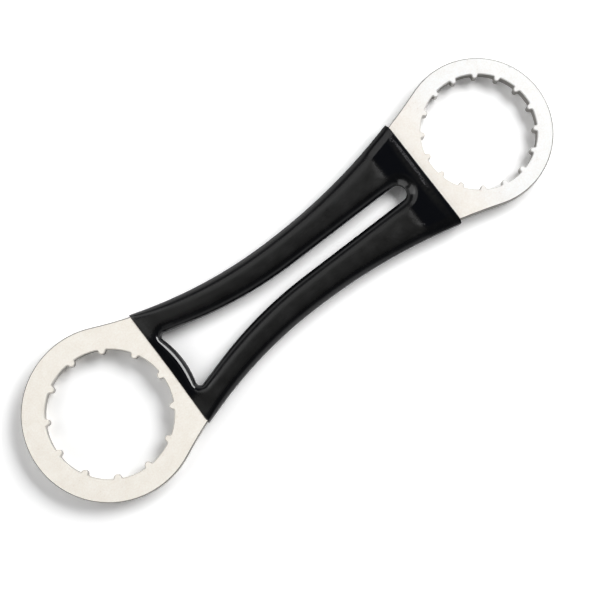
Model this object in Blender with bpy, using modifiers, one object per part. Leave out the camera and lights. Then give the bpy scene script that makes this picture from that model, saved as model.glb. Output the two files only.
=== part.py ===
"""Bottom bracket tool: a flat steel plate with a notched ring at each end and a dipped vinyl grip.

The plate is one profile-cut piece. Its outline is drawn as a half, from the tool's long axis
outwards, and mirrored. The grip is a sleeve that follows the same outline at the coat's
thickness and is cut out for the plate with a small clearance. Both are then bent together at
the press line near the small ring. Lengths are in metres. While drawing, +X runs from the big
ring's centre to the small ring's centre, +Y across the tool and +Z up from the table.
"""

import math

import bmesh
import bpy
from mathutils import Matrix, Vector

# Plate
PLATE_THICKNESS = 0.0050
CENTRE_DISTANCE = 0.1750
EDGE_CHAMFER = 0.00035

# Big ring, for 48.5 mm cups with 12 notches
BIG_NOTCHES = 12
BIG_ROOT_RADIUS = 0.02425
BIG_OUTER_RADIUS = 0.03305
BIG_TOOTH_HEIGHT = 0.00175
BIG_TOOTH_NOSE = 0.0013
BIG_TOOTH_FILLET = 0.0006

# Small ring, for 44 mm cups with 16 notches
SMALL_NOTCHES = 16
SMALL_ROOT_RADIUS = 0.02215
SMALL_OUTER_RADIUS = 0.0287
SMALL_OUTER_SETBACK = 0.0006
SMALL_TOOTH_HEIGHT = 0.0016
SMALL_TOOTH_NOSE = 0.00105
SMALL_TOOTH_FILLET = 0.0005

# Narrowest place of the plate: positions along the tool are from the ring that the name gives
WAIST_FROM_BIG = 0.0875
WAIST_HALF_WIDTH = 0.01409

# Window between the two bars
WINDOW_CORNER_RADIUS = 0.0028
WINDOW_FLARE_RADIUS = 0.1640
SLOT_START_FROM_BIG = 0.0870
SLOT_END_FROM_SMALL = 0.0338
SLOT_HALF_WIDTH = 0.0048

# Bend across the tool near the small ring
BEND_FROM_SMALL = 0.0380
BEND_ANGLE = math.radians(1.25)
BEND_WIDTH = 0.0012

# Dipped coat
GRIP_START_FROM_BIG = 0.0279
GRIP_END_FROM_SMALL = 0.0263
COAT_THICKNESS = 0.0015
COAT_AT_DIP_LINE = 0.0008
SIDE_TAPER_LENGTH = 0.0600
FACE_TAPER_LENGTH = 0.0120
PILLOW_WIDTH = 0.0048
PILLOW_HEIGHT = 0.0031
PILLOW_POWER = 2.3
PILLOW_SEGMENTS = 6
ROUNDING_AT_DIP_LINE = 0.0012
COAT_CLEARANCE = 0.0003

# How finely round stretches are drawn
TOOTH_STEP = math.radians(24)
RING_STEP = math.radians(4)
WAIST_STEP = math.radians(1.4)
CORNER_STEP = math.radians(15)

CUT_OVERRUN = 0.0080
ON_AXIS = 1e-7

BIG_CENTRE = Vector((0, 0))
SMALL_CENTRE = Vector((CENTRE_DISTANCE, 0))
SMALL_OUTER_CENTRE = Vector((CENTRE_DISTANCE - SMALL_OUTER_SETBACK, 0))
GRIP_START = GRIP_START_FROM_BIG
GRIP_END = CENTRE_DISTANCE - GRIP_END_FROM_SMALL
BEND_X = CENTRE_DISTANCE - BEND_FROM_SMALL
PLATE_MIDDLE = COAT_THICKNESS + PLATE_THICKNESS / 2
GRIP_HEIGHT = PLATE_THICKNESS + 2 * COAT_THICKNESS


def clear_scene():
    for obj in list(bpy.data.objects):
        bpy.data.objects.remove(obj, do_unlink=True)


def add_collection(name):
    collection = bpy.data.collections.new(name)
    bpy.context.scene.collection.children.link(collection)
    return collection


def add_material(name, colour, metallic, roughness):
    material = bpy.data.materials.new(name)
    material.use_nodes = True
    shader = material.node_tree.nodes["Principled BSDF"]
    shader.inputs["Base Color"].default_value = (*colour, 1)
    shader.inputs["Metallic"].default_value = metallic
    shader.inputs["Roughness"].default_value = roughness
    return material


def arc(centre, radius, start, end, step):
    """Points on an arc from the start angle to the end angle, both ends included."""
    count = max(1, math.ceil(abs(end - start) / step))
    angles = [start + (end - start) * i / count for i in range(count + 1)]
    return [centre + radius * Vector((math.cos(a), math.sin(a))) for a in angles]


def angle_of(vector):
    return math.atan2(vector.y, vector.x)


def turned(vector, angle):
    c, s = math.cos(angle), math.sin(angle)
    return Vector((c * vector.x - s * vector.y, s * vector.x + c * vector.y))


def notched_half(centre, notches, root_radius, height, nose, fillet, first_tooth):
    """Upper half of a notched hole, from its far end on the axis round to its near end.

    Each tooth is a round nose that runs into the root circle through a small fillet.
    """
    pitch = 2 * math.pi / notches
    nose_at = root_radius - height + nose
    fillet_at = root_radius - fillet
    reach = nose + fillet
    cosine = (nose_at**2 + fillet_at**2 - reach**2) / (2 * nose_at * fillet_at)
    foot = math.acos(cosine)

    def tooth(angle):
        along = Vector((math.cos(angle), math.sin(angle)))
        nose_centre = centre + nose_at * along
        points = []
        for side in (-1, 1):
            turn = angle + side * foot
            fillet_centre = centre + fillet_at * Vector((math.cos(turn), math.sin(turn)))
            root_end = turn
            nose_end = angle_of(nose_centre - fillet_centre)
            span = (nose_end - root_end + math.pi) % (2 * math.pi) - math.pi
            bend = arc(fillet_centre, fillet, root_end, root_end + span, 2 * TOOTH_STEP)
            points.append(bend if side < 0 else bend[::-1])
        start = angle_of(points[0][-1] - nose_centre)
        end = angle_of(points[1][0] - nose_centre)
        sweep = (end - start) % (2 * math.pi) - 2 * math.pi
        return points[0] + arc(nose_centre, nose, start, start + sweep, TOOTH_STEP)[1:-1] + points[1]

    outline = []
    last = None
    for k in range(-1, notches):
        angle = first_tooth + k * pitch
        if angle < -foot or angle > math.pi + foot:
            continue
        if last is not None:
            outline += arc(centre, root_radius, last + foot, angle - foot, 1.6 * RING_STEP)[1:-1]
        elif angle - foot > 0:
            outline += arc(centre, root_radius, 0, angle - foot, 1.6 * RING_STEP)[:-1]
        outline += tooth(angle)
        last = angle
    if last + foot < math.pi:
        outline += arc(centre, root_radius, last + foot, math.pi, 1.6 * RING_STEP)[1:]
    return from_axis_to_axis(outline)


def from_axis_to_axis(points):
    """Keeps the run above the axis and puts its two ends exactly on it."""
    above = [p for p in points if p.y > ON_AXIS]
    first = points.index(above[0])
    last = points.index(above[-1])
    start = points[first - 1] if first > 0 else Vector((points[0].x, 0))
    end = points[last + 1] if last + 1 < len(points) else Vector((points[-1].x, 0))
    return [crossing(start, above[0]), *above, crossing(end, above[-1])]


def crossing(below, above):
    if abs(below.y) <= ON_AXIS:
        return Vector((below.x, 0))
    share = below.y / (below.y - above.y)
    return Vector((below.x + share * (above.x - below.x), 0))


def waist_arc(rim_centre, rim_radius):
    """Centre and radius of the arc that starts level at the waist and just touches a ring's rim."""
    away = WAIST_FROM_BIG - rim_centre.x
    reach = away**2 + WAIST_HALF_WIDTH**2 - rim_radius**2
    radius = reach / (2 * (rim_radius - WAIST_HALF_WIDTH))
    return Vector((WAIST_FROM_BIG, WAIST_HALF_WIDTH + radius)), radius


def side_outline():
    """Upper outer edge of the plate, from the big ring's far end to the small ring's far end."""
    fall, fall_radius = waist_arc(BIG_CENTRE, BIG_OUTER_RADIUS)
    rise, rise_radius = waist_arc(SMALL_OUTER_CENTRE, SMALL_OUTER_RADIUS)
    level = -math.pi / 2
    big_rim = arc(BIG_CENTRE, BIG_OUTER_RADIUS, math.pi, angle_of(fall - BIG_CENTRE), RING_STEP)
    to_waist = arc(fall, fall_radius, angle_of(BIG_CENTRE - fall), level, WAIST_STEP)
    touch = angle_of(SMALL_OUTER_CENTRE - rise)
    from_waist = arc(rise, rise_radius, level, touch, WAIST_STEP)
    small_rim = arc(SMALL_OUTER_CENTRE, SMALL_OUTER_RADIUS, touch + math.pi, 0, RING_STEP)
    points = big_rim + to_waist[1:] + from_waist[1:] + small_rim[1:]
    points[0].y = 0
    points[-1].y = 0
    return points


def window_outline():
    """Upper edge of the window, from its small-ring end on the axis round to the big ring's rim."""
    end_centre = Vector((CENTRE_DISTANCE - SLOT_END_FROM_SMALL - SLOT_HALF_WIDTH, 0))
    tip = arc(end_centre, SLOT_HALF_WIDTH, 0, math.pi / 2, CORNER_STEP)

    flare = Vector((SLOT_START_FROM_BIG, SLOT_HALF_WIDTH + WINDOW_FLARE_RADIUS))
    corner_from_ring = BIG_OUTER_RADIUS + WINDOW_CORNER_RADIUS
    corner_from_flare = WINDOW_FLARE_RADIUS + WINDOW_CORNER_RADIUS
    gap = flare.length
    cosine = (gap**2 + corner_from_ring**2 - corner_from_flare**2) / (2 * gap * corner_from_ring)
    corner = corner_from_ring * turned(flare.normalized(), -math.acos(cosine))
    touch_flare = angle_of(flare - corner)
    touch_ring = angle_of(-corner)
    sides = arc(flare, WINDOW_FLARE_RADIUS, -math.pi / 2, touch_flare - math.pi, 2 * WAIST_STEP)
    round_corner = arc(corner, WINDOW_CORNER_RADIUS, touch_flare, touch_ring + 2 * math.pi, CORNER_STEP)
    rim = arc(BIG_CENTRE, BIG_OUTER_RADIUS, angle_of(corner), 0, RING_STEP)
    points = tip + sides + round_corner[1:] + rim[1:]
    points[0].y = 0
    points[-1].y = 0
    return points


def grown(x):
    """How far the coat has built up from its thin start at the dip line: 0 there, 1 from the waist on."""
    return min(1, max(0, (x - GRIP_START) / SIDE_TAPER_LENGTH))


def coat_on_side(x):
    """Coat thickness on the plate's edges."""
    return COAT_AT_DIP_LINE + (COAT_THICKNESS - COAT_AT_DIP_LINE) * grown(x)


def coat_on_face(x):
    """Coat thickness on the plate's two faces."""
    share = min(1, (x - GRIP_START) / FACE_TAPER_LENGTH)
    return COAT_AT_DIP_LINE + (COAT_THICKNESS - COAT_AT_DIP_LINE) * share


def pillow_inset(x, share):
    """How far inside the coat's widest line its edge is, share of the way up the rounding."""
    width = ROUNDING_AT_DIP_LINE + (PILLOW_WIDTH - ROUNDING_AT_DIP_LINE) * grown(x)
    return width * (1 - math.cos(share * math.pi / 2) ** (2 / PILLOW_POWER))


def pillow_drop(x, share):
    """How far below the coat's top its edge is, share of the way up the rounding."""
    height = ROUNDING_AT_DIP_LINE + (PILLOW_HEIGHT - ROUNDING_AT_DIP_LINE) * grown(x)
    return height * (1 - math.sin(share * math.pi / 2) ** (2 / PILLOW_POWER))


def pushed_out(points, distance, ends_on_axis):
    """An edge moved to its left by distance(x), measured square to the edge."""
    moved = []
    last = len(points) - 1
    for i, point in enumerate(points):
        before = points[i - 1] if i > 0 else point
        after = points[i + 1] if i < last else point
        if ends_on_axis and i == 0:
            before = Vector((after.x, -after.y))
        if ends_on_axis and i == last:
            after = Vector((before.x, -before.y))
        along = (after - before).normalized()
        left = Vector((-along.y, along.x))
        moved.append(point + left * distance(point.x))
    if ends_on_axis:
        moved[0].y = 0
        moved[-1].y = 0
    return moved


def clipped(points, low, high):
    """The run of an edge between two positions along the tool, cut off at both."""
    kept = []
    for a, b in zip(points, points[1:]):
        for x in (low, high):
            if (a.x - x) * (b.x - x) < 0:
                kept.append(a + (b - a) * (x - a.x) / (b.x - a.x))
        if low < b.x < high:
            kept.append(b.copy())
    return kept


def band_outline(distance, low, high):
    """Half of the covered stretch of plate, with both long edges moved outwards."""
    side = pushed_out(clipped(side_outline(), low, high), distance, False)
    window = pushed_out(window_outline(), distance, True)
    return [Vector((low, 0)), *side, Vector((high, 0))] + window


def extruded_half(name, outline, height):
    """The half outline as a flat solid about z = 0, its caps one face each and its axis side open."""
    curve = bpy.data.curves.new(name, "CURVE")
    curve.dimensions = "2D"
    curve.fill_mode = "BOTH"
    curve.extrude = height / 2
    spline = curve.splines.new("POLY")
    spline.points.add(len(outline) - 1)
    for target, point in zip(spline.points, outline):
        target.co = (point.x, point.y, 0, 1)
    spline.use_cyclic_u = True
    drawn = bpy.data.objects.new(name, curve)
    bpy.context.scene.collection.objects.link(drawn)
    bpy.context.view_layer.update()
    evaluated = drawn.evaluated_get(bpy.context.evaluated_depsgraph_get())
    mesh = bpy.data.meshes.new_from_object(evaluated)
    bpy.data.objects.remove(drawn, do_unlink=True)

    solid = bmesh.new()
    solid.from_mesh(mesh)
    bmesh.ops.remove_doubles(solid, verts=solid.verts, dist=1e-6)
    bmesh.ops.recalc_face_normals(solid, faces=solid.faces)
    inner = [e for e in solid.edges if all(is_cap(f) for f in e.link_faces)]
    bmesh.ops.dissolve_edges(solid, edges=inner)
    open_at_axis(solid)
    return mesh, solid


def open_at_axis(solid):
    """Takes away the walls on the axis, where the other half joins on."""
    axis = [f for f in solid.faces if all(abs(v.co.y) < ON_AXIS for v in f.verts)]
    bmesh.ops.delete(solid, geom=axis, context="FACES_ONLY")


def is_cap(face):
    return abs(face.normal.z) > 0.9


def chamfer_rims(solid, size):
    """Cuts a small flat along every edge where a wall meets a cap."""
    shared = [e for e in solid.edges if len(e.link_faces) == 2]
    rims = [e for e in shared if is_cap(e.link_faces[0]) != is_cap(e.link_faces[1])]
    bmesh.ops.bevel(solid, geom=rims, offset=size, segments=1, affect="EDGES", clamp_overlap=False)


def object_from(name, mesh, solid, collection):
    solid.to_mesh(mesh)
    solid.free()
    mesh.name = name
    obj = bpy.data.objects.new(name, mesh)
    collection.objects.link(obj)
    return obj


def mirrored(obj):
    mirror = obj.modifiers.new("other_half", "MIRROR")
    mirror.use_axis = (False, True, False)
    mirror.use_mirror_merge = True
    mirror.merge_threshold = 1e-5


def shaped(obj, cuts=()):
    """The object's mesh with its modifiers and cuts carried out."""
    for operation, cutter in cuts:
        boolean = obj.modifiers.new(cutter.name, "BOOLEAN")
        boolean.operation = operation
        boolean.solver = "EXACT"
        boolean.object = cutter
    bpy.context.view_layer.update()
    evaluated = obj.evaluated_get(bpy.context.evaluated_depsgraph_get())
    mesh = bpy.data.meshes.new_from_object(evaluated)
    obj.modifiers.clear()
    obj.data = mesh


def make_plate(collection):
    """Steel plate with both notched rings, flat, with a small chamfer round every edge."""
    big_hole = notched_half(
        BIG_CENTRE, BIG_NOTCHES, BIG_ROOT_RADIUS, BIG_TOOTH_HEIGHT, BIG_TOOTH_NOSE, BIG_TOOTH_FILLET, 0
    )
    small_hole = notched_half(
        SMALL_CENTRE,
        SMALL_NOTCHES,
        SMALL_ROOT_RADIUS,
        SMALL_TOOTH_HEIGHT,
        SMALL_TOOTH_NOSE,
        SMALL_TOOTH_FILLET,
        math.pi / SMALL_NOTCHES,
    )
    outline = side_outline() + small_hole + window_outline() + big_hole
    mesh, solid = extruded_half("steel_plate", outline, PLATE_THICKNESS)
    chamfer_rims(solid, EDGE_CHAMFER)
    plate = object_from("steel_plate", mesh, solid, collection)
    mirrored(plate)
    shaped(plate)
    return plate


def make_clearance(collection):
    """The space that the plate takes inside the coat, a clearance larger all round."""
    low = GRIP_START - 2 * CUT_OVERRUN
    high = GRIP_END + 2 * CUT_OVERRUN
    outline = band_outline(lambda x: COAT_CLEARANCE, max(low, big_neck_start()), high)
    mesh, solid = extruded_half("plate_clearance", outline, PLATE_THICKNESS + 2 * COAT_CLEARANCE)
    chamfer_rims(solid, EDGE_CHAMFER + (2 - math.sqrt(2)) * COAT_CLEARANCE)
    clearance = object_from("plate_clearance", mesh, solid, collection)
    mirrored(clearance)
    shaped(clearance)
    return clearance


def big_neck_start():
    """Just past where the waist arc leaves the big ring."""
    fall, _ = waist_arc(BIG_CENTRE, BIG_OUTER_RADIUS)
    return BIG_OUTER_RADIUS * math.cos(angle_of(fall - BIG_CENTRE)) + EDGE_CHAMFER


def make_length_cut(collection):
    """A block as long as the grip, which gives the coat its two square ends."""
    bpy.ops.mesh.primitive_cube_add(size=1, location=((GRIP_START + GRIP_END) / 2, 0, 0))
    block = bpy.context.object
    block.name = "grip_length"
    block.scale = (GRIP_END - GRIP_START, 4 * BIG_OUTER_RADIUS, 4 * GRIP_HEIGHT)
    bpy.ops.object.transform_apply(location=True, rotation=False, scale=True)
    for owner in list(block.users_collection):
        owner.objects.unlink(block)
    collection.objects.link(block)
    return block


def make_grip(collection, cutters):
    """Vinyl coat: a sleeve with pillow edges round both bars, open where the plate leaves it.

    Its edge is raised in layers, each a little further in than the one below. Both the rounding
    and the coat shrink towards the dip line, so that the coat stays outside the plate's corners.
    """
    low = max(GRIP_START - CUT_OVERRUN, big_neck_start())
    high = GRIP_END + CUT_OVERRUN

    def layer(share):
        flat = band_outline(lambda x: coat_on_side(x) - pillow_inset(x, share), low, high)
        return [Vector((*p, GRIP_HEIGHT / 2 - pillow_drop(p.x, share))) for p in flat]

    widest = layer(0)
    mesh, solid = extruded_half("vinyl_grip", [p.xy for p in widest], GRIP_HEIGHT)
    number = solid.verts.layers.int.new("number")
    for vert in solid.verts:
        vert[number] = min(range(len(widest)), key=lambda i: (widest[i].xy - vert.co.xy).length)
        vert.co.z = math.copysign(widest[vert[number]].z, vert.co.z)
    for side in (-1, 1):
        cap = max(solid.faces, key=lambda f: side * f.normal.z * f.calc_area())
        for step in range(1, PILLOW_SEGMENTS + 1):
            cap = raised(solid, cap, number, layer(step / PILLOW_SEGMENTS), side)
    open_at_axis(solid)
    split_across(solid, GRIP_START + FACE_TAPER_LENGTH)
    for vert in solid.verts:
        vert.co.z *= (PLATE_THICKNESS / 2 + coat_on_face(vert.co.x)) / (GRIP_HEIGHT / 2)
    grip = object_from("vinyl_grip", mesh, solid, collection)
    mirrored(grip)
    shaped(grip, (("INTERSECT", make_length_cut(cutters)), ("DIFFERENCE", make_clearance(cutters))))
    return grip


def raised(solid, cap, number, layer, side):
    """Extrudes the cap to the next layer: each new corner goes to the place with its number."""
    made = bmesh.ops.extrude_face_region(solid, geom=[cap])["geom"]
    if cap.is_valid:
        solid.faces.remove(cap)
    for vert in (v for v in made if isinstance(v, bmesh.types.BMVert)):
        place = layer[vert[number]]
        vert.co = (place.x, place.y, side * place.z)
    return next(f for f in made if isinstance(f, bmesh.types.BMFace))


def split_across(solid, x):
    """Adds a line of edges straight across the tool."""
    everything = solid.verts[:] + solid.edges[:] + solid.faces[:]
    bmesh.ops.bisect_plane(solid, geom=everything, plane_co=(x, 0, 0), plane_no=(1, 0, 0), dist=1e-6)


def press_bend(obj):
    """Bends the small ring's end down about a line across the tool, in two equal creases."""
    solid = bmesh.new()
    solid.from_mesh(obj.data)
    for crease in (BEND_X - BEND_WIDTH / 2, BEND_X + BEND_WIDTH / 2):
        split_across(solid, crease)
        beyond = [v for v in solid.verts if v.co.x > crease + 1e-6]
        turn = Matrix.Rotation(BEND_ANGLE / 2, 3, "Y")
        bmesh.ops.rotate(solid, verts=beyond, cent=(crease, 0, 0), matrix=turn)
    solid.to_mesh(obj.data)
    solid.free()


def lay_on_table(objects):
    """Moves the tool so that the origin is under its middle, on the table."""
    corners = [Vector(v.co) for obj in objects for v in obj.data.vertices]
    low = [min(c[i] for c in corners) for i in range(3)]
    high = [max(c[i] for c in corners) for i in range(3)]
    middle = Vector(((low[0] + high[0]) / 2, 0, low[2]))
    for obj in objects:
        obj.data.transform(Matrix.Translation(-middle))


def finish(obj, material):
    obj.data.materials.clear()
    obj.data.materials.append(material)
    obj.data.shade_smooth()
    obj.data.set_sharp_from_angle(angle=math.radians(30))


def main():
    clear_scene()
    tool = add_collection("bottom_bracket_tool")
    cutters = add_collection("cutters")
    plate = make_plate(tool)
    grip = make_grip(tool, cutters)
    for obj in (plate, grip):
        press_bend(obj)
    lay_on_table((plate, grip))
    finish(plate, add_material("nickel_plated_steel", (0.78, 0.76, 0.72), 1.0, 0.38))
    finish(grip, add_material("black_vinyl", (0.012, 0.012, 0.014), 0.0, 0.33))
    for cutter in cutters.objects:
        cutter.hide_render = True
        cutter.display_type = "WIRE"


main()
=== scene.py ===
import math

import bpy
import numpy as np
from mathutils import Matrix, Vector, noise


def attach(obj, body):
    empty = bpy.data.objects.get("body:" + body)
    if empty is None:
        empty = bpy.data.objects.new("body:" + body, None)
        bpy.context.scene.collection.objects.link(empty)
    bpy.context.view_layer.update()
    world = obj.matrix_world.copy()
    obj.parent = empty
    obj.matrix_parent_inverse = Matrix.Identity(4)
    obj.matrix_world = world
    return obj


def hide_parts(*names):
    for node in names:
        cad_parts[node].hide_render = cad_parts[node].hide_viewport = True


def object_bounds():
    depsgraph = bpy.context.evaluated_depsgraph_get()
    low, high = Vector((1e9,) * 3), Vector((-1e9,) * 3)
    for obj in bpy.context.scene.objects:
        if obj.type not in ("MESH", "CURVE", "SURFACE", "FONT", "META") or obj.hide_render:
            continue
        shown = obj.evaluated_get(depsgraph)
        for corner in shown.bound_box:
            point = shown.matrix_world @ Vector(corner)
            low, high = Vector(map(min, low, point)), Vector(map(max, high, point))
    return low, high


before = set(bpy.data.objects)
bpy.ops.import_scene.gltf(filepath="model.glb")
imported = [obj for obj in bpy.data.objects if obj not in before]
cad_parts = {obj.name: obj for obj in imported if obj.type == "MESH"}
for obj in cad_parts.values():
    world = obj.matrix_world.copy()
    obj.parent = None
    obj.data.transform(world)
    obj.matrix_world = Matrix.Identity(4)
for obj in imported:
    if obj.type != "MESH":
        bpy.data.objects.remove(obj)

cad_low, cad_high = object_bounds()

# Sizes are in mm. The tool lies along X, and places along it are counted from the big ring's centre.
MM = 0.001
PLATE_HALF = 2.5
BIG_RIM = 33.05
RING_SPACING = 175.0
SMALL_RIM = 28.7
# The small ring's rim is centred a little nearer to the grip than its notches are.
SMALL_RIM_BACK = 0.6
SMALL_RIM_AT = RING_SPACING - SMALL_RIM_BACK

# Bars and window of the steel under the grip
WAIST_AT = 87.5
WAIST_HALF = 14.09
SLOT_FROM = 87.0
SLOT_HALF = 4.8
SLOT_TIP = 136.4
FLARE_RADIUS = 164.0
WINDOW_CORNER = 2.8

# Vinyl coat
DIP_LINE = 27.95
CUT_END = 148.7
CUT_CORNER = 0.8
CUT_CORNER_OUT = 0.12
CUT_CORNER_TURN = math.radians(75)
COAT = 1.5
COAT_AT_DIP = 0.8
# Lengths over which the coat and its crown build up from the dip line
SIDE_BUILD_UP = 60.0
FACE_BUILD_UP = 12.0
CROWN_BUILD_UP = 15.0
# The lip is the coat on the window's edge, and the web is the grip between the dip line and the window.
LIP_EXTRA = 0.3
LIP_EXTRA_FADES = (33, 42)

# Each rounding: how far in from the edge it starts, how far it falls, and how late it falls
DIP_ROUNDING = (1.2, 1.2, 2.0)
WEB_ROUNDING = (2.7, 1.75, 2.0)
WEB_EDGE = (0.8, 0.7, 2.0)
BAR_ROUNDING = (6.1, 2.6, 3.0)
PRESSED_SIDE = (6.6, 1.9, 1.8)
PRESSED_EDGE = (2.2, 0.4, 2.0)
DIP_LIP = (0.4, 0.25, 2.0)
CUT_LIP = (0.2, 0.2, 2.0)
# The bars' roundings reach further in near the small ring: how much, and where along the side and the slot
CROWN_GAIN = 1.8
SIDE_GAIN_FROM_TO = (95, 130)
SLOT_GAIN_FROM_TO = (130, 139)
# The coat tapers to the dip line: over what length, and how far down
DIP_TAPER_LENGTH = 3.5
DIP_TAPER_FALL = 0.45

# Press line near the small ring, and the flat panel pressed into the coat past it
BEND_AT = 137.0
BEND_WIDTH = 1.2
BEND_ANGLE = math.radians(1.25)
PRESS_FROM = 133.2
PRESS_TO = 138.0
PRESS_DEPTH = 0.32
PRESS_SOFTNESS = 0.14

# Unevenness of the dipped coat: how much, and over what length
FACE_WAVE = 0.03
FACE_WAVE_LENGTH = 9
COAT_WAVE = 0.012
COAT_WAVE_LENGTH = 7
COAT_WAVE_SEED = 5.0
DIP_WAVER = 0.06
DIP_WAVER_LENGTH = 5
DIP_WAVER_SEED = 2.0
DIP_LEAN_UPPER = 0.1 / 24
DIP_LEAN_LOWER = 0.65 / 25
DIP_LEAN_FADES = 3.0

# Where the vinyl is glossy, and how much duller its edges are past the press line: (how much, from, to)
EDGE_GLOSS = (0.6, 2.0, 3.4)
WEB_GLOSS_ACROSS = (12.0, 16.0)
WEB_GLOSS_ALONG = (34, 40)
PRESSED_GLOSS = (135.0, 137.5)
DULLER_LIP = (0.4, 3.6, 4.4)
DULLER_SIDE = (0.5, 3.4, 4.6)
# Where the coat is so thin at the dip line that it shows brown
THIN_FROM_TO = (0.1, 0.4)

# Rows of the grip's skin: how many start on each stretch of the window's edge, and how they fan out
ROWS_ON_RING = 16
ROWS_ON_CORNER = 30
ROWS_ON_FLARE = 36
ROWS_ON_SLOT = 28
ROWS_BY_PRESS_LINE = 16
ROWS_ON_TIP = 48
ROW_FAN = 1.15
TIP_CROWDING = 1.5
FINE_ROWS_BEFORE = 2
# Places along a row: close together near both of its ends, and then spread out in its middle
NEAR_EDGE = np.array([
    0, 0.15, 0.35, 0.6, 0.85, 1.1, 1.4, 1.7, 2.0, 2.4, 2.8, 3.2, 3.6, 4.0, 4.4, 4.8, 5.2, 5.7,
])
NEAR_EDGE_SHARE = 0.45
PLACES_BETWEEN = 12
# How far up the wall at each end of a row the wall's middle point stands
WALL_STEP = 0.6
# Points of the outer line: their spacing on the side, and their number on each end and on the cut's corner
SIDE_STEP = 0.5
END_STEPS = 40
CUT_CORNER_STEPS = 7
PAST_ENDS = 12
# Points this near to the tool's middle lie on it, and points this near to each other are one.
ON_MIDDLE = 1e-4
MERGE_WITHIN = 1e-3
SMOOTH_UNDER = math.radians(35)

# Where the tool lies in the frame
BIG_RING_X = cad_low[0] / MM + BIG_RIM
PLATE_MIDDLE_Z = cad_high[2] / MM - PLATE_HALF - COAT


# The grip's outlines

def smooth(x, low, high):
    """Rises softly from 0 at low to 1 at high."""
    share = np.clip((np.asarray(x, float) - low) / (high - low), 0, 1)
    return share * share * (3 - 2 * share)


def towards(turn):
    """Direction of a turn, as a vector of length 1."""
    return Vector((math.cos(turn), math.sin(turn)))


def built_up(s, length):
    """The coat's thickness, which grows from the dip line over the given length."""
    return COAT_AT_DIP + (COAT - COAT_AT_DIP) * np.clip((s - DIP_LINE) / length, 0, 1)


def side_coat(s):
    return built_up(s, SIDE_BUILD_UP)


def lip_coat(s):
    """The vinyl is a little thicker on the window's edge beside the big ring."""
    return side_coat(s) + LIP_EXTRA * (1 - smooth(s, *LIP_EXTRA_FADES))


def side_half_width(s):
    """Half width of the coated tool: two long arcs that meet at the waist."""
    rim, at = (BIG_RIM, 0.0) if s < WAIST_AT else (SMALL_RIM, SMALL_RIM_AT)
    away = WAIST_AT - at
    radius = (away**2 + WAIST_HALF**2 - rim**2) / (2 * (rim - WAIST_HALF))
    reach = radius - float(side_coat(s))
    return WAIST_HALF + radius - math.sqrt(reach**2 - (s - WAIST_AT) ** 2)


def side_line(first, last):
    count = int((last - first) / SIDE_STEP)
    return [(s, side_half_width(s)) for s in np.linspace(first, last, count)]


def window_centres():
    """Centres of the small round corner beside the big ring, and of the long arc that flares the bar."""
    flare = Vector((SLOT_FROM, SLOT_HALF + FLARE_RADIUS))
    from_ring = BIG_RIM + WINDOW_CORNER
    from_flare = FLARE_RADIUS + WINDOW_CORNER
    gap = flare.length
    turn = math.acos((gap**2 + from_ring**2 - from_flare**2) / (2 * gap * from_ring))
    return from_ring * towards(math.atan2(flare.y, flare.x) - turn), flare


def window_rows():
    """Where each row across the coat starts on the window's edge, and which way it runs."""
    corner, flare = window_centres()
    ring_end = math.atan2(corner.y, corner.x)
    coat = float(lip_coat(BIG_RIM))
    rows = []
    for angle in np.linspace(0, ring_end, ROWS_ON_RING):
        rows.append(((BIG_RIM + coat) * towards(angle), towards(math.pi + angle * ROW_FAN)))

    ring_turn = math.pi + ring_end
    fanned_turn = math.pi + ring_end * ROW_FAN
    flare_turn = math.atan2(*(flare - corner).yx)
    for share in np.linspace(0, 1, ROWS_ON_CORNER)[1:]:
        start = corner + (WINDOW_CORNER - coat) * towards(ring_turn + (flare_turn - ring_turn) * share)
        rows.append((start, towards(fanned_turn + (flare_turn - fanned_turn) * share)))

    for s in np.linspace(rows[-1][0].x, SLOT_FROM, ROWS_ON_FLARE)[1:]:
        reach = FLARE_RADIUS + float(lip_coat(s))
        start = Vector((s, flare.y - math.sqrt(reach**2 - (SLOT_FROM - s) ** 2)))
        rows.append((start, (flare - start).normalized()))

    lip = SLOT_HALF - COAT
    fine_from = PRESS_FROM - FINE_ROWS_BEFORE
    coarse = np.linspace(SLOT_FROM, fine_from, ROWS_ON_SLOT)[1:]
    fine = np.linspace(fine_from, SLOT_TIP, ROWS_BY_PRESS_LINE)[1:]
    rows += [(Vector((s, lip)), Vector((0, 1))) for s in (*coarse, *fine)]
    for turn in math.pi / 2 * (1 - np.linspace(0, 1, ROWS_ON_TIP)[1:] ** TIP_CROWDING):
        out = towards(turn)
        rows.append((Vector((SLOT_TIP, 0)) + lip * out, out))
    return rows


def outer_line():
    """Outer edge of the half grip: dip line, long side, and the clean cut with its rounded corner."""
    line = [(DIP_LINE, w) for w in np.linspace(0, side_half_width(DIP_LINE), END_STEPS)[:-1]]
    line += side_line(DIP_LINE, CUT_END - CUT_CORNER)
    centre = Vector((CUT_END - CUT_CORNER, line[-1][1] - CUT_CORNER + CUT_CORNER_OUT))
    for turn in np.linspace(CUT_CORNER_TURN, 0, CUT_CORNER_STEPS):
        line.append(tuple(centre + CUT_CORNER * towards(turn)))
    line += [(CUT_END, w) for w in np.linspace(centre.y, 0, END_STEPS)[1:]]
    return line


def reach_of(start, out, line):
    """How far a row runs before it meets the outer edge."""
    best = None
    normal = Vector((-out.y, out.x))
    for a, b in zip(line, line[1:]):
        a, b = Vector(a) - start, Vector(b) - start
        da, db = a.dot(normal), b.dot(normal)
        if da * db > 0 or da == db:
            continue
        hit = (a + (b - a) * (da / (da - db))).dot(out)
        if hit > 0 and (best is None or hit < best):
            best = hit
    return best


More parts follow.
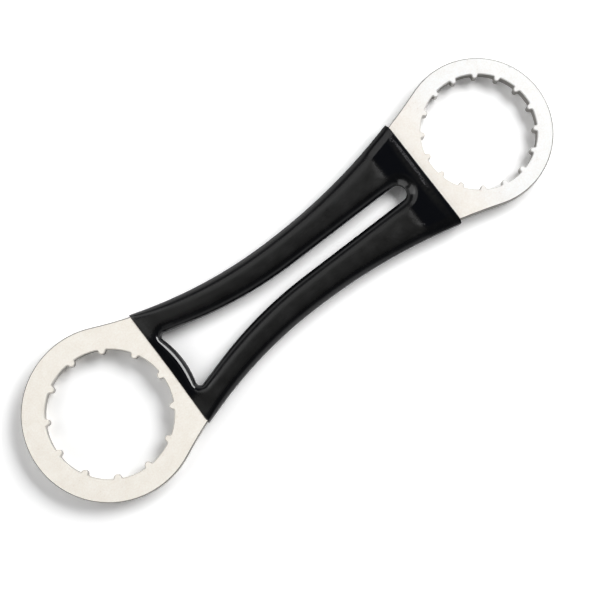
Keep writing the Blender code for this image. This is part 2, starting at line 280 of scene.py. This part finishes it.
def distance_to(points, line):
    """Least distance from each point to a line of points."""
    line = np.asarray(line, float)
    best = np.full(len(points), np.inf)
    for a, b in zip(line, line[1:]):
        d = b - a
        t = np.clip(((points - a) @ d) / (d @ d), 0, 1)
        best = np.minimum(best, np.linalg.norm(points - a - t[:, None] * d, axis=1))
    return best


# The grip's height and gloss

def drop(distance, width, height, power):
    """How far a rounded edge has fallen, this far in from the edge."""
    return height * np.clip(1 - distance / width, 0, 1) ** power


def blend(share, first, second):
    """One rounding that turns into another along the tool."""
    return [a + (b - a) * share for a, b in zip(first, second)]


def coat_height(points, to_side, to_window):
    """Height of the coat's upper face over the plate's middle."""
    s = points[:, 0]
    past_dip = s - DIP_LINE
    built = 1 - np.exp(-np.maximum(past_dip, 0) / CROWN_BUILD_UP)
    pressing = smooth(s, PRESS_FROM, PRESS_TO)
    side = blend(built, DIP_ROUNDING, BAR_ROUNDING)
    side[0] = side[0] + CROWN_GAIN * smooth(s, *SIDE_GAIN_FROM_TO)
    side = blend(pressing, side, PRESSED_SIDE)
    lip = blend(built, WEB_ROUNDING, BAR_ROUNDING)
    lip[0] = lip[0] + CROWN_GAIN * smooth(s, *SLOT_GAIN_FROM_TO)

    top = PLATE_HALF + built_up(s, FACE_BUILD_UP)
    height = top - drop(to_side, *side) - drop(to_window, *lip)
    height = height - (1 - built) * drop(to_window, *WEB_EDGE) - pressing * drop(to_side, *PRESSED_EDGE)
    # Past the press line the crown is pressed flat, to one level.
    level = top - PRESS_DEPTH * pressing
    soft = PRESS_SOFTNESS * pressing
    height = 0.5 * (height + level - np.sqrt((height - level) ** 2 + soft**2))
    height = height - DIP_TAPER_FALL * (1 - smooth(past_dip, 0, DIP_TAPER_LENGTH))
    return height - drop(past_dip, *DIP_LIP) - drop(CUT_END - s, *CUT_LIP)


def coat_gloss(points, to_side, to_window):
    """How glossy the coat is: most on the web beside the big ring and past the press line."""
    s, w = points[:, 0], points[:, 1]

    def near(distance, amount, full_to, none_from):
        return amount * (1 - smooth(distance, full_to, none_from))

    edge = near(np.minimum(to_side, to_window), *EDGE_GLOSS)
    web = (1 - smooth(w, *WEB_GLOSS_ACROSS)) * (1 - smooth(s, *WEB_GLOSS_ALONG))
    duller = np.maximum(near(to_window, *DULLER_LIP), near(to_side, *DULLER_SIDE))
    pressed = smooth(s, *PRESSED_GLOSS) * (1 - duller)
    return np.maximum(np.maximum(edge, web), pressed)


# The grip's skin

def row_places(reach):
    """Places along a row of the given length. Both ends are there three times, for the wall under them."""
    near = NEAR_EDGE * min(1.0, NEAR_EDGE_SHARE * reach / NEAR_EDGE[-1])
    between = np.linspace(near[-1], reach - near[-1], PLACES_BETWEEN + 2)[1:-1]
    return [0.0, 0.0, *near, *between, *(reach - near[::-1]), reach, reach]


def coat_rows():
    """Rows of points over one half of the grip, each from the window's edge out to the side."""
    starts = window_rows()
    outer = outer_line()
    ends = [start + out * reach_of(start, out, outer) for start, out in starts]
    corner = Vector((DIP_LINE, side_half_width(DIP_LINE)))
    nearest = min(range(len(ends)), key=lambda row: (ends[row] - corner).length)
    ends[nearest] = corner
    rows = []
    for (start, _), end in zip(starts, ends):
        out = (end - start).normalized()
        rows.append([tuple(start + out * place) for place in row_places((end - start).length)])
    return rows


def coat_points():
    """The grip's points row by row: place, height over the plate's middle, gloss and thinness."""
    rows = coat_rows()
    across = len(rows[0])
    points = np.array(rows).reshape(-1, 2)
    up_wall = np.tile([0.0, WALL_STEP, *[1.0] * (across - 4), WALL_STEP, 0.0], len(rows))
    window = [row[0] for row in rows]
    window = [(s, -w) for s, w in window[:0:-1]] + window
    to_side = distance_to(points, side_line(DIP_LINE - PAST_ENDS, CUT_END + PAST_ENDS))
    to_window = distance_to(points, window)
    waves = [noise.noise(Vector((s / FACE_WAVE_LENGTH, w / FACE_WAVE_LENGTH, 0))) for s, w in points]
    height = (coat_height(points, to_side, to_window) + FACE_WAVE * np.array(waves) * up_wall) * up_wall
    gloss = coat_gloss(points, to_side, to_window)
    thinness = 1 - smooth(points[:, 0] - DIP_LINE, *THIN_FROM_TO)
    return across, points, height, gloss, thinness


def add_coat_quarter():
    """A quarter of the grip: a grid laid from the window's edge out to the side, over the upper face."""
    across, points, height, gloss, thinness = coat_points()
    bpy.ops.object.select_all(action="DESELECT")
    bpy.ops.mesh.primitive_grid_add(
        x_subdivisions=across - 1, y_subdivisions=len(points) // across - 1, size=1)
    grip = bpy.context.object
    grip.name = "grip_coat"
    mesh = grip.data
    laid = sorted((round(v.co.y, 5), v.co.x, v.index) for v in mesh.vertices)
    shine = mesh.attributes.new("gloss", "FLOAT", "POINT")
    thin = mesh.attributes.new("thin", "FLOAT", "POINT")
    for k, (_, _, i) in enumerate(laid):
        s, w = points[k]
        mesh.vertices[i].co = (s, w if abs(w) > ON_MIDDLE else 0, height[k])
        shine.data[i].value = gloss[k]
        thin.data[i].value = thinness[k]
    return grip


def add_grip():
    """Grip as a closed skin: a quarter mirrored across and to the lower face, then bent with the plate."""
    grip = add_coat_quarter()
    for axes in ((False, True, False), (False, False, True)):
        mirror = grip.modifiers.new("other_half", "MIRROR")
        mirror.use_axis = axes
        mirror.use_mirror_merge = True
        mirror.merge_threshold = MERGE_WITHIN
        bpy.ops.object.modifier_apply(modifier=mirror.name)
    bpy.ops.object.mode_set(mode="EDIT")
    bpy.ops.mesh.select_all(action="SELECT")
    bpy.ops.mesh.remove_doubles(threshold=MERGE_WITHIN)
    bpy.ops.mesh.normals_make_consistent(inside=False)
    bpy.ops.object.mode_set(mode="OBJECT")
    for v in grip.data.vertices:
        v.co = bent(*wandered(*v.co))
    grip.data.transform(Matrix.Scale(MM, 4) @ Matrix.Translation((BIG_RING_X, 0, PLATE_MIDDLE_Z)))
    bpy.ops.object.shade_smooth_by_angle(angle=SMOOTH_UNDER)
    return grip


def wandered(s, w, z):
    """The dip line leans and wavers a little, and the coat is a little uneven all over."""
    lean = w * (DIP_LEAN_UPPER if w > 0 else DIP_LEAN_LOWER)
    waver = DIP_WAVER * noise.noise(Vector((w / DIP_WAVER_LENGTH, DIP_WAVER_SEED, 0)))
    fading = 1 - float(smooth(s, DIP_LINE, DIP_LINE + DIP_LEAN_FADES))
    place = Vector((s / COAT_WAVE_LENGTH, w / COAT_WAVE_LENGTH, COAT_WAVE_SEED))
    return s + (lean + waver) * fading, w, z * (1 + COAT_WAVE * noise.noise(place))


def bent(s, w, z):
    """The press line turns the small ring's end down, over a short width."""
    start = BEND_AT - BEND_WIDTH / 2
    if s <= start:
        return s, w, z
    over = min(s - start, BEND_WIDTH)
    past = s - start - over
    turn = BEND_ANGLE * over / BEND_WIDTH
    fall = BEND_ANGLE * over**2 / (2 * BEND_WIDTH) + past * math.sin(turn)
    return start + over + past * math.cos(turn) + z * math.sin(turn), w, z * math.cos(turn) - fall


# How high a worn patch lies over the floor, how far up and down it reaches, and where in it wear is full
PATCH_HEIGHT = 8
PATCH_HALF_HEIGHT = 4
PATCH_FULL_WITHIN = 0.35
PATCH_GRAIN_FULL = 0.66
# Each: (place along, across), (half length, half width), turn in degrees, grains per metre, cover
PLATE_NICKS = (
    ((199.6, 12.6), (1.3, 0.75), -117, 1500, 0.05),
)
VINYL_WEAR = (
    ((CUT_END - 1.8, 7.5), (0.9, 16.0), 0.6, 1300, 0.20),
    ((CUT_END - 2.0, 17.5), (1.2, 1.8), 20, 1600, 0.36),
    ((CUT_END - 2.4, -2.5), (0.7, 3.5), 0, 1300, 0.34),
    ((136.0, -14.8), (2.8, 0.16), 40, 900, 0.30),
)
# Satin bloom: inside the cut, where the upper bar starts, and where the press line crosses the bars
VINYL_BLOOM = (
    ((CUT_END - 2.6, 1.0), (2.6, 27.0), 0.6, 900, 0.16),
    ((30.5, 19.5), (4.0, 6.0), 0, 1200, 0.34),
    ((133.5, 11.0), (2.4, 3.6), 0, 700, 0.36),
    ((134.0, -10.5), (1.4, 2.2), 0, 900, 0.36),
    ((131.5, -16.5), (3.0, 1.4), 10, 900, 0.36),
)


# Nodes that the materials share

def new_material(name):
    material = bpy.data.materials.new(name)
    material.use_nodes = True
    return material, material.node_tree.nodes, material.node_tree.links


def new_group(name, inputs, output):
    """An empty node group. Each input has a name and a kind of socket, and the output is a number."""
    group = bpy.data.node_groups.new(name, "ShaderNodeTree")
    for socket, kind in inputs:
        group.interface.new_socket(socket, in_out="INPUT", socket_type="NodeSocket" + kind)
    group.interface.new_socket(output, in_out="OUTPUT", socket_type="NodeSocketFloat")
    start, end = group.nodes.new("NodeGroupInput"), group.nodes.new("NodeGroupOutput")
    return group, group.nodes, group.links, start.outputs, end.inputs


def add_node(nodes, kind, **settings):
    node = nodes.new(kind)
    for key, value in settings.items():
        if key in node.inputs:
            node.inputs[key].default_value = value
        else:
            setattr(node, key, value)
    return node


def feed(links, socket, value):
    """A socket gets a number, a vector, a colour, or what another node puts out."""
    if isinstance(value, (int, float)):
        socket.default_value = value
    elif isinstance(value, tuple):
        socket.default_value = (*value, 1)[:len(socket.default_value)]
    else:
        links.new(value, socket)


def calculated(nodes, links, operation, *values):
    node = add_node(nodes, "ShaderNodeMath", operation=operation)
    for socket, value in zip(node.inputs, values):
        feed(links, socket, value)
    return node.outputs[0]


def combined(nodes, links, operation, *vectors):
    node = add_node(nodes, "ShaderNodeVectorMath", operation=operation)
    for socket, vector in zip(node.inputs, vectors):
        feed(links, socket, vector)
    return node.outputs["Value" if operation == "LENGTH" else "Vector"]


def stretch(nodes, links, value, low, high, kind="LINEAR", to=(0, 1)):
    """A value spread from 0 at low to 1 at high, or between two other numbers, and held there."""
    node = add_node(nodes, "ShaderNodeMapRange", interpolation_type=kind)
    for name, given in zip(("Value", "From Min", "From Max", "To Min", "To Max"), (value, low, high, *to)):
        feed(links, node.inputs[name], given)
    return node.outputs[0]


def mixed(nodes, links, share, first, second):
    """Two colours mixed by a mask."""
    node = add_node(nodes, "ShaderNodeMix", data_type="RGBA")
    for at, given in ((0, share), (6, first), (7, second)):
        feed(links, node.inputs[at], given)
    return node.outputs[2]


def mixed_number(nodes, links, share, first, second):
    node = add_node(nodes, "ShaderNodeMix", data_type="FLOAT")
    for at, given in ((0, share), (2, first), (3, second)):
        feed(links, node.inputs[at], given)
    return node.outputs[0]


def add_bump(nodes, links, shader, height, strength, depth):
    bump = add_node(nodes, "ShaderNodeBump", Strength=strength, Distance=depth)
    links.new(height, bump.inputs["Height"])
    links.new(bump.outputs[0], shader.inputs["Normal"])


def mottle_group():
    """A soft mottle: a value above and below 0, with the given number of patches per metre and spread."""
    sockets = (("Place", "Vector"), ("Patches per metre", "Float"), ("Spread", "Float"))
    group, nodes, links, given, result = new_group("mottle", sockets, "Tone")
    pattern = add_node(nodes, "ShaderNodeTexNoise", Detail=4.0, Roughness=0.6)
    links.new(given["Place"], pattern.inputs["Vector"])
    links.new(given["Patches per metre"], pattern.inputs["Scale"])
    centred = calculated(nodes, links, "SUBTRACT", pattern.outputs["Fac"], 0.5)
    links.new(calculated(nodes, links, "MULTIPLY", centred, given["Spread"]), result["Tone"])
    return group


def placed_mottle(nodes, links, group, place, per_metre, spread):
    node = add_node(nodes, "ShaderNodeGroup", node_tree=group)
    node.inputs["Patches per metre"].default_value = per_metre
    node.inputs["Spread"].default_value = spread
    links.new(place, node.inputs["Place"])
    return node.outputs["Tone"]


def patch_group():
    """A worn patch: an oval round a centre, turned about Z, broken up by a fine grain, all in metres.

    It fades from full well inside to nothing at its edge, and a higher cover leaves fewer grains worn.
    """
    sockets = (("Place", "Vector"), ("Centre", "Vector"), ("Half size", "Vector"), ("Turn", "Float"),
               ("Grains per metre", "Float"), ("Cover", "Float"))
    group, nodes, links, given, result = new_group("worn_patch", sockets, "Mask")
    turned = add_node(nodes, "ShaderNodeVectorRotate", rotation_type="Z_AXIS")
    links.new(combined(nodes, links, "SUBTRACT", given["Place"], given["Centre"]), turned.inputs["Vector"])
    links.new(given["Turn"], turned.inputs["Angle"])
    scaled = combined(nodes, links, "DIVIDE", turned.outputs[0], given["Half size"])
    reach = combined(nodes, links, "LENGTH", scaled)
    inside = stretch(nodes, links, reach, 1.0, PATCH_FULL_WITHIN, "SMOOTHSTEP")
    grain = add_node(nodes, "ShaderNodeTexNoise", Detail=3.0, Roughness=0.65)
    links.new(given["Place"], grain.inputs["Vector"])
    links.new(given["Grains per metre"], grain.inputs["Scale"])
    broken = stretch(nodes, links, grain.outputs["Fac"], given["Cover"], PATCH_GRAIN_FULL, "SMOOTHSTEP")
    links.new(calculated(nodes, links, "MULTIPLY", inside, broken), result["Mask"])
    return group


def worn_patches(nodes, links, group, place, patches):
    """The strongest of some worn patches."""
    strongest = 0.0
    for (s, w), (along, across), turn, grains, cover in patches:
        node = add_node(nodes, "ShaderNodeGroup", node_tree=group)
        node.inputs["Centre"].default_value = (MM * (s + BIG_RING_X), MM * w, MM * PATCH_HEIGHT)
        node.inputs["Half size"].default_value = (MM * along, MM * across, MM * PATCH_HALF_HEIGHT)
        node.inputs["Turn"].default_value = math.radians(turn)
        node.inputs["Grains per metre"].default_value = grains
        node.inputs["Cover"].default_value = cover
        links.new(place, node.inputs["Place"])
        strongest = calculated(nodes, links, "MAXIMUM", strongest, node.outputs["Mask"])
    return strongest


# The plate's nickel. Patches of a mottle are given per metre, with their spread.

NICKEL_GRAIN = (1500, 1.2)
NICKEL_CLOUD = (260, 0.6)
NICKEL_TONES = (-0.3, 0.3)
NICKEL_SHADE = (0.925, 0.86, 0.765)
NICKEL_LIGHT = (1.0, 0.97, 0.90)
NICKEL_SPECULAR = 0.85
NICKEL_ROUGHNESS = 0.55
NICKEL_METALLIC = 0.05
NICKEL_BUMP = (0.25, 0.00003)
# Tints of the plate, and where each comes in, in mm from the tool's middle: none on the big ring's side,
# a darker, slightly bluer one at the grip beside the small ring, and on the small ring a painted sheen,
# a whiter colour that stands in for the light the ring catches
UNTINTED = (1, 1, 1)
TINT_AT_GRIP = (0.915, 0.915, 0.93)
TINT_AT_GRIP_FROM_TO = (10, 30)
PAINTED_SHEEN_ON_RING = (0.92, 0.965, 1.045)
PAINTED_SHEEN_FROM_TO = (68, 88)
# The chamfered edges and the cut walls are told from the faces by how upright the surface's normal is.
# The chamfers' dark colour is painted shade: a thin dark line round the plate's outline, fainter at the
# notches.
NICKED_STEEL_AND_EDGE_SHADE = (0.26, 0.25, 0.235)
CHAMFER_UPRIGHT = (0.93, 0.78)
INNER_CHAMFER_SHARE = 0.3
WALL_STEEL = (0.40, 0.385, 0.36)
WALL_UPRIGHT = (0.55, 0.3)
BARE_ROUGHNESS = 0.3
# Past these distances from a ring's centre, a chamfered edge belongs to the rim and not to the notches.
BIG_RIM_FROM_TO = (29, 30)
SMALL_RIM_FROM_TO = (25.5, 26.5)


def past_notches(nodes, links, place, ring_x, low, high):
    """Outside the notches of a ring, by the distance from its centre in the plane of the plate."""
    away = combined(nodes, links, "SUBTRACT", place, (MM * ring_x, 0, 0))
    away = combined(nodes, links, "MULTIPLY", away, (1, 1, 0))
    return stretch(nodes, links, combined(nodes, links, "LENGTH", away), MM * low, MM * high)


def plate_tint_and_painted_sheen(nodes, links, place):
    """The plate's tint along the tool, with the painted sheen that whitens the small ring."""
    axes = nodes.new("ShaderNodeSeparateXYZ")
    links.new(place, axes.inputs[0])
    along = calculated(nodes, links, "DIVIDE", axes.outputs["X"], MM)
    # Painted sheen: the small ring is made whiter, standing in for the light it catches.
    painted_sheen_share = stretch(nodes, links, along, *PAINTED_SHEEN_FROM_TO, "SMOOTHSTEP")
    grip_tint_and_painted_sheen = mixed(nodes, links, painted_sheen_share, TINT_AT_GRIP, PAINTED_SHEEN_ON_RING)
    return mixed(nodes, links, stretch(nodes, links, along, *TINT_AT_GRIP_FROM_TO), UNTINTED, grip_tint_and_painted_sheen)


def plate_edges(nodes, links, where):
    """Masks of the chamfers (painted shade) and of the cut walls. The notches' chamfers show only a share.
    """
    place = where.outputs["Object"]
    facing = nodes.new("ShaderNodeSeparateXYZ")
    links.new(where.outputs["Normal"], facing.inputs[0])
    upright = calculated(nodes, links, "ABSOLUTE", facing.outputs["Z"])
    edge = stretch(nodes, links, upright, *CHAMFER_UPRIGHT)
    wall = stretch(nodes, links, upright, *WALL_UPRIGHT)
    past_big = past_notches(nodes, links, place, BIG_RING_X, *BIG_RIM_FROM_TO)
    past_small = past_notches(nodes, links, place, BIG_RING_X + SMALL_RIM_AT, *SMALL_RIM_FROM_TO)
    outer = calculated(nodes, links, "MULTIPLY", past_big, past_small)
    outer_edge = calculated(nodes, links, "MULTIPLY", outer, edge)
    inner_edge = calculated(nodes, links, "MULTIPLY", INNER_CHAMFER_SHARE, edge)
    return calculated(nodes, links, "MAXIMUM", outer_edge, inner_edge), wall


def satin_nickel(mottle, patch):
    """Satin nickel plate: fine grain, soft clouding, darker walls, a nick, edges darkened as painted
    shade.
    """
    material, nodes, links = new_material("satin_nickel")
    shader = nodes["Principled BSDF"]
    shader.inputs["Specular IOR Level"].default_value = NICKEL_SPECULAR
    where = nodes.new("ShaderNodeTexCoord")
    place = where.outputs["Object"]
    grain = placed_mottle(nodes, links, mottle, place, *NICKEL_GRAIN)
    cloud = placed_mottle(nodes, links, mottle, place, *NICKEL_CLOUD)
    tone = calculated(nodes, links, "ADD", grain, cloud)
    face = mixed(nodes, links, stretch(nodes, links, tone, *NICKEL_TONES), NICKEL_SHADE, NICKEL_LIGHT)
    # The tint multiplied in here holds the painted sheen that whitens the small ring.
    face = combined(nodes, links, "MULTIPLY", face, plate_tint_and_painted_sheen(nodes, links, place))

    edge, wall = plate_edges(nodes, links, where)
    edge = calculated(nodes, links, "MAXIMUM", edge, worn_patches(nodes, links, patch, place, PLATE_NICKS))
    walls_nicks_and_shaded_edges = calculated(nodes, links, "MAXIMUM", wall, edge)
    # Painted shade on the chamfered edges; the nick, which is real wear, takes the same dark colour.
    face = mixed(nodes, links, edge, face, NICKED_STEEL_AND_EDGE_SHADE)
    face = mixed(nodes, links, wall, face, WALL_STEEL)
    links.new(face, shader.inputs["Base Color"])
    links.new(calculated(nodes, links, "MAXIMUM", NICKEL_METALLIC, walls_nicks_and_shaded_edges), shader.inputs["Metallic"])

    rough = calculated(nodes, links, "ADD", tone, NICKEL_ROUGHNESS)
    links.new(mixed_number(nodes, links, walls_nicks_and_shaded_edges, rough, BARE_ROUGHNESS), shader.inputs["Roughness"])
    add_bump(nodes, links, shader, grain, *NICKEL_BUMP)
    return material


# The grip's vinyl

SATIN_BLACK = (0.0024, 0.0024, 0.0022)
GLOSSY_BLACK = (0.0023, 0.0027, 0.0040)
BLOOM_GREY = (0.0098, 0.0099, 0.0098)
WORN_GREY = (0.024, 0.024, 0.027)
THIN_BROWN = (0.016, 0.010, 0.005)
VINYL_SPECULAR = 0.63
SATIN_ROUGHNESS = 0.34
GLOSSY_ROUGHNESS = 0.09
WORN_ROUGHNESS = 0.5
VINYL_PEEL = (900, 1.0)
VINYL_CLOUD = (160, 0.25)
VINYL_SPECK = (2400, 0.18)
VINYL_BUMP = (0.3, 0.00004)


def dipped_vinyl(mottle, patch):
    """Black dipped vinyl: satin, glossy by the gloss attribute, and scuffed and bloomed in places."""
    material, nodes, links = new_material("dipped_vinyl")
    shader = nodes["Principled BSDF"]
    shader.inputs["Specular IOR Level"].default_value = VINYL_SPECULAR
    place = nodes.new("ShaderNodeTexCoord").outputs["Object"]
    glossy = add_node(nodes, "ShaderNodeAttribute", attribute_name="gloss").outputs["Fac"]
    thin = add_node(nodes, "ShaderNodeAttribute", attribute_name="thin").outputs["Fac"]
    wear = worn_patches(nodes, links, patch, place, VINYL_WEAR)
    bloom = worn_patches(nodes, links, patch, place, VINYL_BLOOM)

    colour = mixed(nodes, links, glossy, SATIN_BLACK, GLOSSY_BLACK)
    for mask, tone in ((bloom, BLOOM_GREY), (wear, WORN_GREY), (thin, THIN_BROWN)):
        colour = mixed(nodes, links, mask, colour, tone)
    links.new(colour, shader.inputs["Base Color"])

    rough = mixed_number(nodes, links, glossy, SATIN_ROUGHNESS, GLOSSY_ROUGHNESS)
    rough = mixed_number(nodes, links, wear, rough, WORN_ROUGHNESS)
    for kind in (VINYL_CLOUD, VINYL_SPECK):
        rough = calculated(nodes, links, "ADD", rough, placed_mottle(nodes, links, mottle, place, *kind))
    links.new(rough, shader.inputs["Roughness"])
    add_bump(nodes, links, shader, placed_mottle(nodes, links, mottle, place, *VINYL_PEEL), *VINYL_BUMP)
    return material


# The studio. Its sizes are in metres.

FLOOR_SIZE = 40
PAPER = (0.96, 0.96, 0.96)
PAPER_SEEN = (1.2, 1.2, 1.2)
PAPER_NEAR = 0.3
PAPER_FAR = 0.7
WHITE = (1, 1, 1, 1)
CAMERA_PLACE = (-0.03917, -0.05683, 0.565597)
CAMERA_TILT = 0.066519
CAMERA_HEADING = 0.656424
CAMERA_LENS = 90.0
CAMERA_SENSOR = 36
CAMERA_SHIFT = 0.1
CAMERA_NEAR = 0.01

# name: (turn from +X towards +Y and rise over the floor in degrees, (width, depth), brightness as seen)
LAMPS = {
    "key": (3, 39.5, (1.12, 0.72), 9.7),
    "side": (102, 57, (1.15, 0.88), 0.85),
    "far_left": (140, 40, (0.90, 0.90), 1.45),
    "far_right": (-150, 28, (1.60, 0.80), 1.35),
    "top": (160, 82, (0.60, 0.60), 0.05),
}
LAMP_DISTANCE = 1.5
# Brightness of the room above and at its walls, and the heights of a direction between which it changes
ROOM_ABOVE = 0.03
ROOM_WALLS = 0.65
ROOM_CHANGES = (0.46, 0.18)


def white_floor():
    """Matt white paper. The camera sees it overexposed, so that it is white right up to the shadows.

    Away from the tool it sees plain white, so that there is no far edge. Neither gives the tool light.
    """
    material, nodes, links = new_material("white_floor")
    nodes.remove(nodes["Principled BSDF"])
    by_camera = nodes.new("ShaderNodeLightPath").outputs["Is Camera Ray"]
    paper = nodes.new("ShaderNodeBsdfDiffuse")
    links.new(mixed(nodes, links, by_camera, PAPER, PAPER_SEEN), paper.inputs["Color"])
    plain = add_node(nodes, "ShaderNodeEmission", Color=WHITE)
    reach = combined(nodes, links, "LENGTH", nodes.new("ShaderNodeTexCoord").outputs["Object"])
    away = stretch(nodes, links, reach, PAPER_NEAR, PAPER_FAR, "SMOOTHSTEP")
    both = nodes.new("ShaderNodeMixShader")
    links.new(calculated(nodes, links, "MULTIPLY", away, by_camera), both.inputs[0])
    links.new(paper.outputs[0], both.inputs[1])
    links.new(plain.outputs[0], both.inputs[2])
    links.new(both.outputs[0], nodes["Material Output"].inputs["Surface"])
    return material


def add_floor():
    bpy.ops.object.select_all(action="DESELECT")
    bpy.ops.mesh.primitive_plane_add(size=FLOOR_SIZE)
    floor = bpy.context.object
    floor.name = "floor"
    floor.data.materials.append(white_floor())


def add_lamp(name, turn, rise, size, brightness):
    """A soft box that looks at the tool. Its brightness is what a mirror would show of it."""
    turn, rise = math.radians(turn), math.radians(rise)
    way = Vector((math.cos(turn) * math.cos(rise), math.sin(turn) * math.cos(rise), math.sin(rise)))
    lamp = bpy.data.lights.new(name, "AREA")
    lamp.shape = "RECTANGLE"
    lamp.size, lamp.size_y = size
    lamp.energy = brightness * math.pi * size[0] * size[1]
    stand = bpy.data.objects.new(name, lamp)
    stand.location = LAMP_DISTANCE * way
    stand.rotation_euler = (-way).to_track_quat("-Z", "Y").to_euler()
    bpy.context.scene.collection.objects.link(stand)


def light_room():
    """A dim ceiling and brighter walls round the tool. The camera sees plain white."""
    world = bpy.data.worlds.new("studio")
    bpy.context.scene.world = world
    world.use_nodes = True
    nodes, links = world.node_tree.nodes, world.node_tree.links
    way = nodes.new("ShaderNodeSeparateXYZ")
    links.new(nodes.new("ShaderNodeTexCoord").outputs["Generated"], way.inputs[0])
    room = stretch(nodes, links, way.outputs["Z"], *ROOM_CHANGES, "SMOOTHSTEP", (ROOM_ABOVE, ROOM_WALLS))
    by_camera = nodes.new("ShaderNodeLightPath").outputs["Is Camera Ray"]
    background = nodes["Background"]
    links.new(mixed_number(nodes, links, by_camera, room, 1.0), background.inputs["Strength"])
    background.inputs["Color"].default_value = WHITE


def add_camera():
    camera = bpy.data.objects.new("camera", bpy.data.cameras.new("camera"))
    camera.location = CAMERA_PLACE
    camera.rotation_euler = (CAMERA_TILT, 0, -CAMERA_HEADING)
    camera.data.lens = CAMERA_LENS
    camera.data.sensor_width = CAMERA_SENSOR
    camera.data.shift_y = CAMERA_SHIFT
    camera.data.clip_start = CAMERA_NEAR
    bpy.context.scene.collection.objects.link(camera)
    bpy.context.scene.camera = camera
    bpy.context.scene.view_settings.view_transform = "Standard"


mottle = mottle_group()
patch = patch_group()
grip = add_grip()
grip.data.materials.append(dipped_vinyl(mottle, patch))
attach(grip, "root")
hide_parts("vinyl_grip")

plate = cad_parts["steel_plate"]
plate.data.materials.clear()
plate.data.materials.append(satin_nickel(mottle, patch))

add_floor()
for name, settings in LAMPS.items():
    add_lamp(name, *settings)
light_room()
add_camera()
